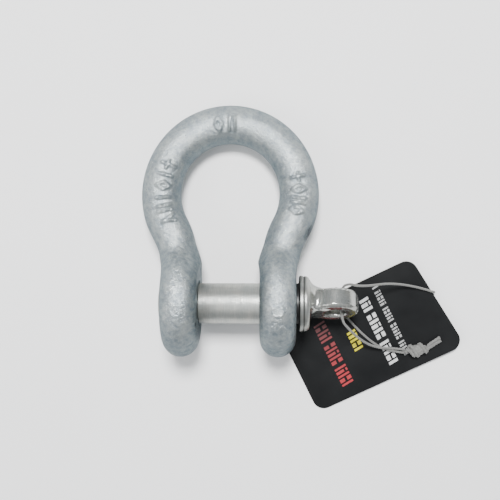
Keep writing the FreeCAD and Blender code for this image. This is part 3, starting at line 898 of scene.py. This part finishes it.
def head_distance(points):
    """Distance to the flared neck and flat eye, which run into each other. The neck is cut flat below."""
    x, y, z = points.T
    out = np.hypot(y, z)
    flare = NECK_RADIUS + FLARE_RISE * np.exp(-np.maximum(x - COLLAR_BACK, -0.3) / FLARE_LENGTH)
    stem = np.where(x < NECK_END, (out - flare) * 0.7, np.hypot(out, x - NECK_END) - NECK_RADIUS)
    stem = np.maximum(stem, COLLAR_BACK - 0.25 - x)
    along = y * math.sin(EYE_LEAN) + z * math.cos(EYE_LEAN)
    through = -y * math.cos(EYE_LEAN) + z * math.sin(EYE_LEAN)
    faced = through - EYE_HALF - FACE_SLOPE * np.maximum(FACE_START - x, 0)
    stem = soft_max(stem, faced, FACED_EDGE)
    ring = np.hypot(x - EYE_PLACE, along)
    side = np.stack([ring - EYE_RADIUS + EYE_ROUNDING, np.abs(through) - EYE_HALF + EYE_ROUNDING])
    plate = np.hypot(*np.maximum(side, 0)) + np.minimum(side.max(0), 0) - EYE_ROUNDING
    return soft_max(soft_min(stem, plate, NECK_FILLET), EYE_HOLE - ring, HOLE_EDGE)


def rough_head():
    """A coarse closed stem and ring for the head's skin to start from."""
    back = COLLAR_BACK
    outline = [(back - 0.2, 0.0), (back - 0.2, 6.0), (back + 0.6, 5.0), (back + 2, 3.9),
               (22.4, 3.6), (23.0, 0.0)]
    stem = lathe("rough_stem", outline, 48)
    around, across = 64, 24
    ring_middle, ring_half, ring_height = 4.15, 1.4, 2.3
    points = []
    for k in range(around):
        turn = 2 * math.pi * k / around
        for n in range(across):
            roll = 2 * math.pi * n / across
            ring = ring_middle + ring_half * math.cos(roll)
            through = ring_height * math.sin(roll)
            along = ring * math.sin(turn)
            points.append((EYE_PLACE + ring * math.cos(turn),
                           along * math.sin(EYE_LEAN) - through * math.cos(EYE_LEAN),
                           along * math.cos(EYE_LEAN) + through * math.sin(EYE_LEAN)))
    ring = new_object("rough_ring", points, grid_faces(around, across, True, True))
    ring.data.flip_normals()
    return joined("head", [stem, ring])


def make_pin():
    """The screw pin in three pieces: its head, its shank with the collar, and its thread."""
    head = shaped(rough_head(), head_distance, HEAD_VOXEL)
    finished(head, HEAD, "pin")
    for piece in (make_shank(), make_thread()):
        finished(piece, TURNED, "pin")
    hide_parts("screw_pin")


make_pin()


# ---------------------------------------------------------------- tag

def rounded_corner(before, corner, after, radius, steps=12):
    """Points of an arc that rounds a corner of the card."""
    corner, before, after = Vector(corner), Vector(before), Vector(after)
    first, second = (before - corner).normalized(), (after - corner).normalized()
    half = first.angle(second) / 2
    centre = corner + (first + second).normalized() * (radius / math.sin(half))
    start = corner + first * (radius / math.tan(half)) - centre
    turn = math.pi - 2 * half
    return [centre + Matrix.Rotation(turn * k / steps, 2) @ start for k in range(steps + 1)]


def card_outline():
    """The card's rounded outline, in the tag's own frame."""
    low, high = -TAG_WIDTH / 2, TAG_WIDTH / 2
    corners = [(0, low), (TAG_LONG, low), (TAG_SHORT, high), (0, high)]
    outline = []
    for k, corner in enumerate(corners):
        outline += rounded_corner(corners[k - 1], corner, corners[(k + 1) % 4], TAG_CORNER)
    return outline


CARD_BEVEL = 0.03


def make_card():
    """The card with its punched hole, black on both faces and grey-brown at its cut edges."""
    data = bpy.data.curves.new("card", "CURVE")
    data.dimensions = "2D"
    data.fill_mode = "BOTH"
    data.extrude = (TAG_THICK / 2 - CARD_BEVEL) * MM
    data.bevel_depth = CARD_BEVEL * MM
    data.offset = -CARD_BEVEL * MM
    hole = [Vector(TAG_HOLE_PLACE) + TAG_HOLE * Vector((math.cos(a), math.sin(a)))
            for a in np.linspace(0, 2 * math.pi, 49)[:-1]]
    for outline in (card_outline(), hole):
        spline = data.splines.new("POLY")
        spline.points.add(len(outline) - 1)
        for point, place in zip(spline.points, outline):
            point.co = (place.x * MM, place.y * MM, 0, 1)
        spline.use_cyclic_u = True
    holder = bpy.data.objects.new("card", data)
    bpy.context.collection.objects.link(holder)
    mesh = bpy.data.meshes.new_from_object(holder.evaluated_get(bpy.context.evaluated_depsgraph_get()))
    bpy.data.objects.remove(holder)
    mesh.transform(Matrix.Translation((0, 0, TAG_THICK / 2 * MM)))
    card = bpy.data.objects.new("card", mesh)
    bpy.context.collection.objects.link(card)
    mesh.materials.clear()
    edge = [abs(face.normal.z) < 0.5 for face in mesh.polygons]
    place_on_tag(card)
    finished(card, [CARD, CORE], None)
    for face, is_edge in zip(mesh.polygons, edge):
        face.material_index = int(is_edge)
        face.use_smooth = False
    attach(card, "tag")
    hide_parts("hang_tag")


def place_on_tag(obj):
    """Moves a mesh made in the tag's own frame to where the tag lies."""
    place = TAG_PLACE.copy()
    place.translation = place.translation * MM
    obj.data.transform(place)


# The blocks of a printed row, in turn: a width, and the spans of the row's height that are inked.
BLOCKS = [
    (1.0, [(-0.5, 0.5)]),
    (1.7, [(-0.5, -0.08), (0.12, 0.5)]),
    (1.0, [(-0.5, 0.5)]),
    (1.3, [(-0.5, 0.18), (0.34, 0.5)]),
]
GROUP, GROUP_GAP = 5, 2.6
PRINT_RISE, PRINT_SLANT = 0.015, 0.12
# Each row's name, its place along the tag, its ends across the tag, height, stroke, gap and ink.
PRINTED_ROWS = [
    ("print_title", 10.2, -9.6, 8.4, 3.2, 0.55, 0.42,
     ("red_ink", (0.30, 0.008, 0.016), (0.36, 0.026, 0.032), (0.09, 0.022, 0.024))),
    ("print_mark", 16.7, -2.6, 3.0, 2.4, 0.60, 0.40,
     ("yellow_ink", (0.42, 0.36, 0.002), (0.58, 0.52, 0.006))),
    ("print_name", 23.2, -9.6, 9.2, 2.5, 0.75, 0.42, ("white_ink", grey(0.40), grey(0.62))),
    ("print_note", 27.2, -9.0, 11.0, 1.6, 0.40, 0.34, ("fine_ink", grey(0.24), grey(0.42))),
]


def printed_row(name, along, low, high, height, stroke, gap, material):
    """A row of plain slanted blocks, where a tag would carry its printed words."""
    faces, points = [], []
    top = TAG_THICK + PRINT_RISE
    slant = PRINT_SLANT * height
    place, number = low, 0
    while place + stroke < high:
        width, spans = BLOCKS[number % len(BLOCKS)]
        wide = stroke * width
        for bottom, end in spans:
            start = len(points)
            for share, edge in ((bottom, 0), (end, 0), (end, wide), (bottom, wide)):
                points.append((along + share * height, place + edge + share * slant, top))
            faces.append((start, start + 1, start + 2, start + 3))
        place += wide + gap * (GROUP_GAP if number % GROUP == GROUP - 1 else 1.0)
        number += 1
    row = new_object(name, points, faces)
    place_on_tag(row)
    finished(row, material, "tag")


make_card()
for *measures, colours in PRINTED_ROWS:
    printed_row(*measures, ink(*colours))


# ---------------------------------------------------------------- floor and light

FLOOR_HALF = 1500.0
LIGHTS_AIM = (10, 10, 0)


def make_floor():
    """A plain pale surface under the lowest point of the ears."""
    size = FLOOR_HALF
    corners = [(-size, -size, FLOOR), (size, -size, FLOOR), (size, size, FLOOR), (-size, size, FLOOR)]
    floor = new_object("floor", corners, [(0, 1, 2, 3)])
    material, tree, shader = new_material("floor", Roughness=0.75)
    shade = ramp(tree, noise(tree, place_node(tree), 0.02, detail=2), (0.3, grey(0.92)), (0.7, grey(0.94)))
    tree.links.new(shade, shader.inputs["Base Color"])
    floor.data.materials.append(material)


def make_light(name, place, size, power):
    """A square soft light that looks at the shackle."""
    data = bpy.data.lights.new(name, "AREA")
    data.shape = "SQUARE"
    data.size = size * MM
    data.energy = power
    light = bpy.data.objects.new(name, data)
    light.location = Vector(place) * MM
    light.rotation_mode = "QUATERNION"
    light.rotation_quaternion = (Vector(LIGHTS_AIM) - Vector(place)).to_track_quat("-Z", "Y")
    bpy.context.collection.objects.link(light)


def make_world():
    """An even pale room, brighter overhead than at its walls."""
    world = bpy.data.worlds.new("room")
    bpy.context.scene.world = world
    world.use_nodes = True
    tree = world.node_tree
    background = tree.nodes["Background"]
    split = tree.nodes.new("ShaderNodeSeparateXYZ")
    tree.links.new(tree.nodes.new("ShaderNodeTexCoord").outputs["Generated"], split.inputs["Vector"])
    sky = ramp(tree, split.outputs["Z"], (0.0, (0.30, 0.31, 0.32)), (0.35, (0.34, 0.35, 0.37)),
               (0.8, (0.66, 0.68, 0.70)), (1.0, (0.82, 0.84, 0.85)))
    tree.links.new(sky, background.inputs["Color"])
    background.inputs["Strength"].default_value = 0.9


make_floor()
make_world()
make_light("key", place=(0, 260, 560), size=130, power=8.0)
make_light("fill", place=(-420, -120, 420), size=380, power=1.2)
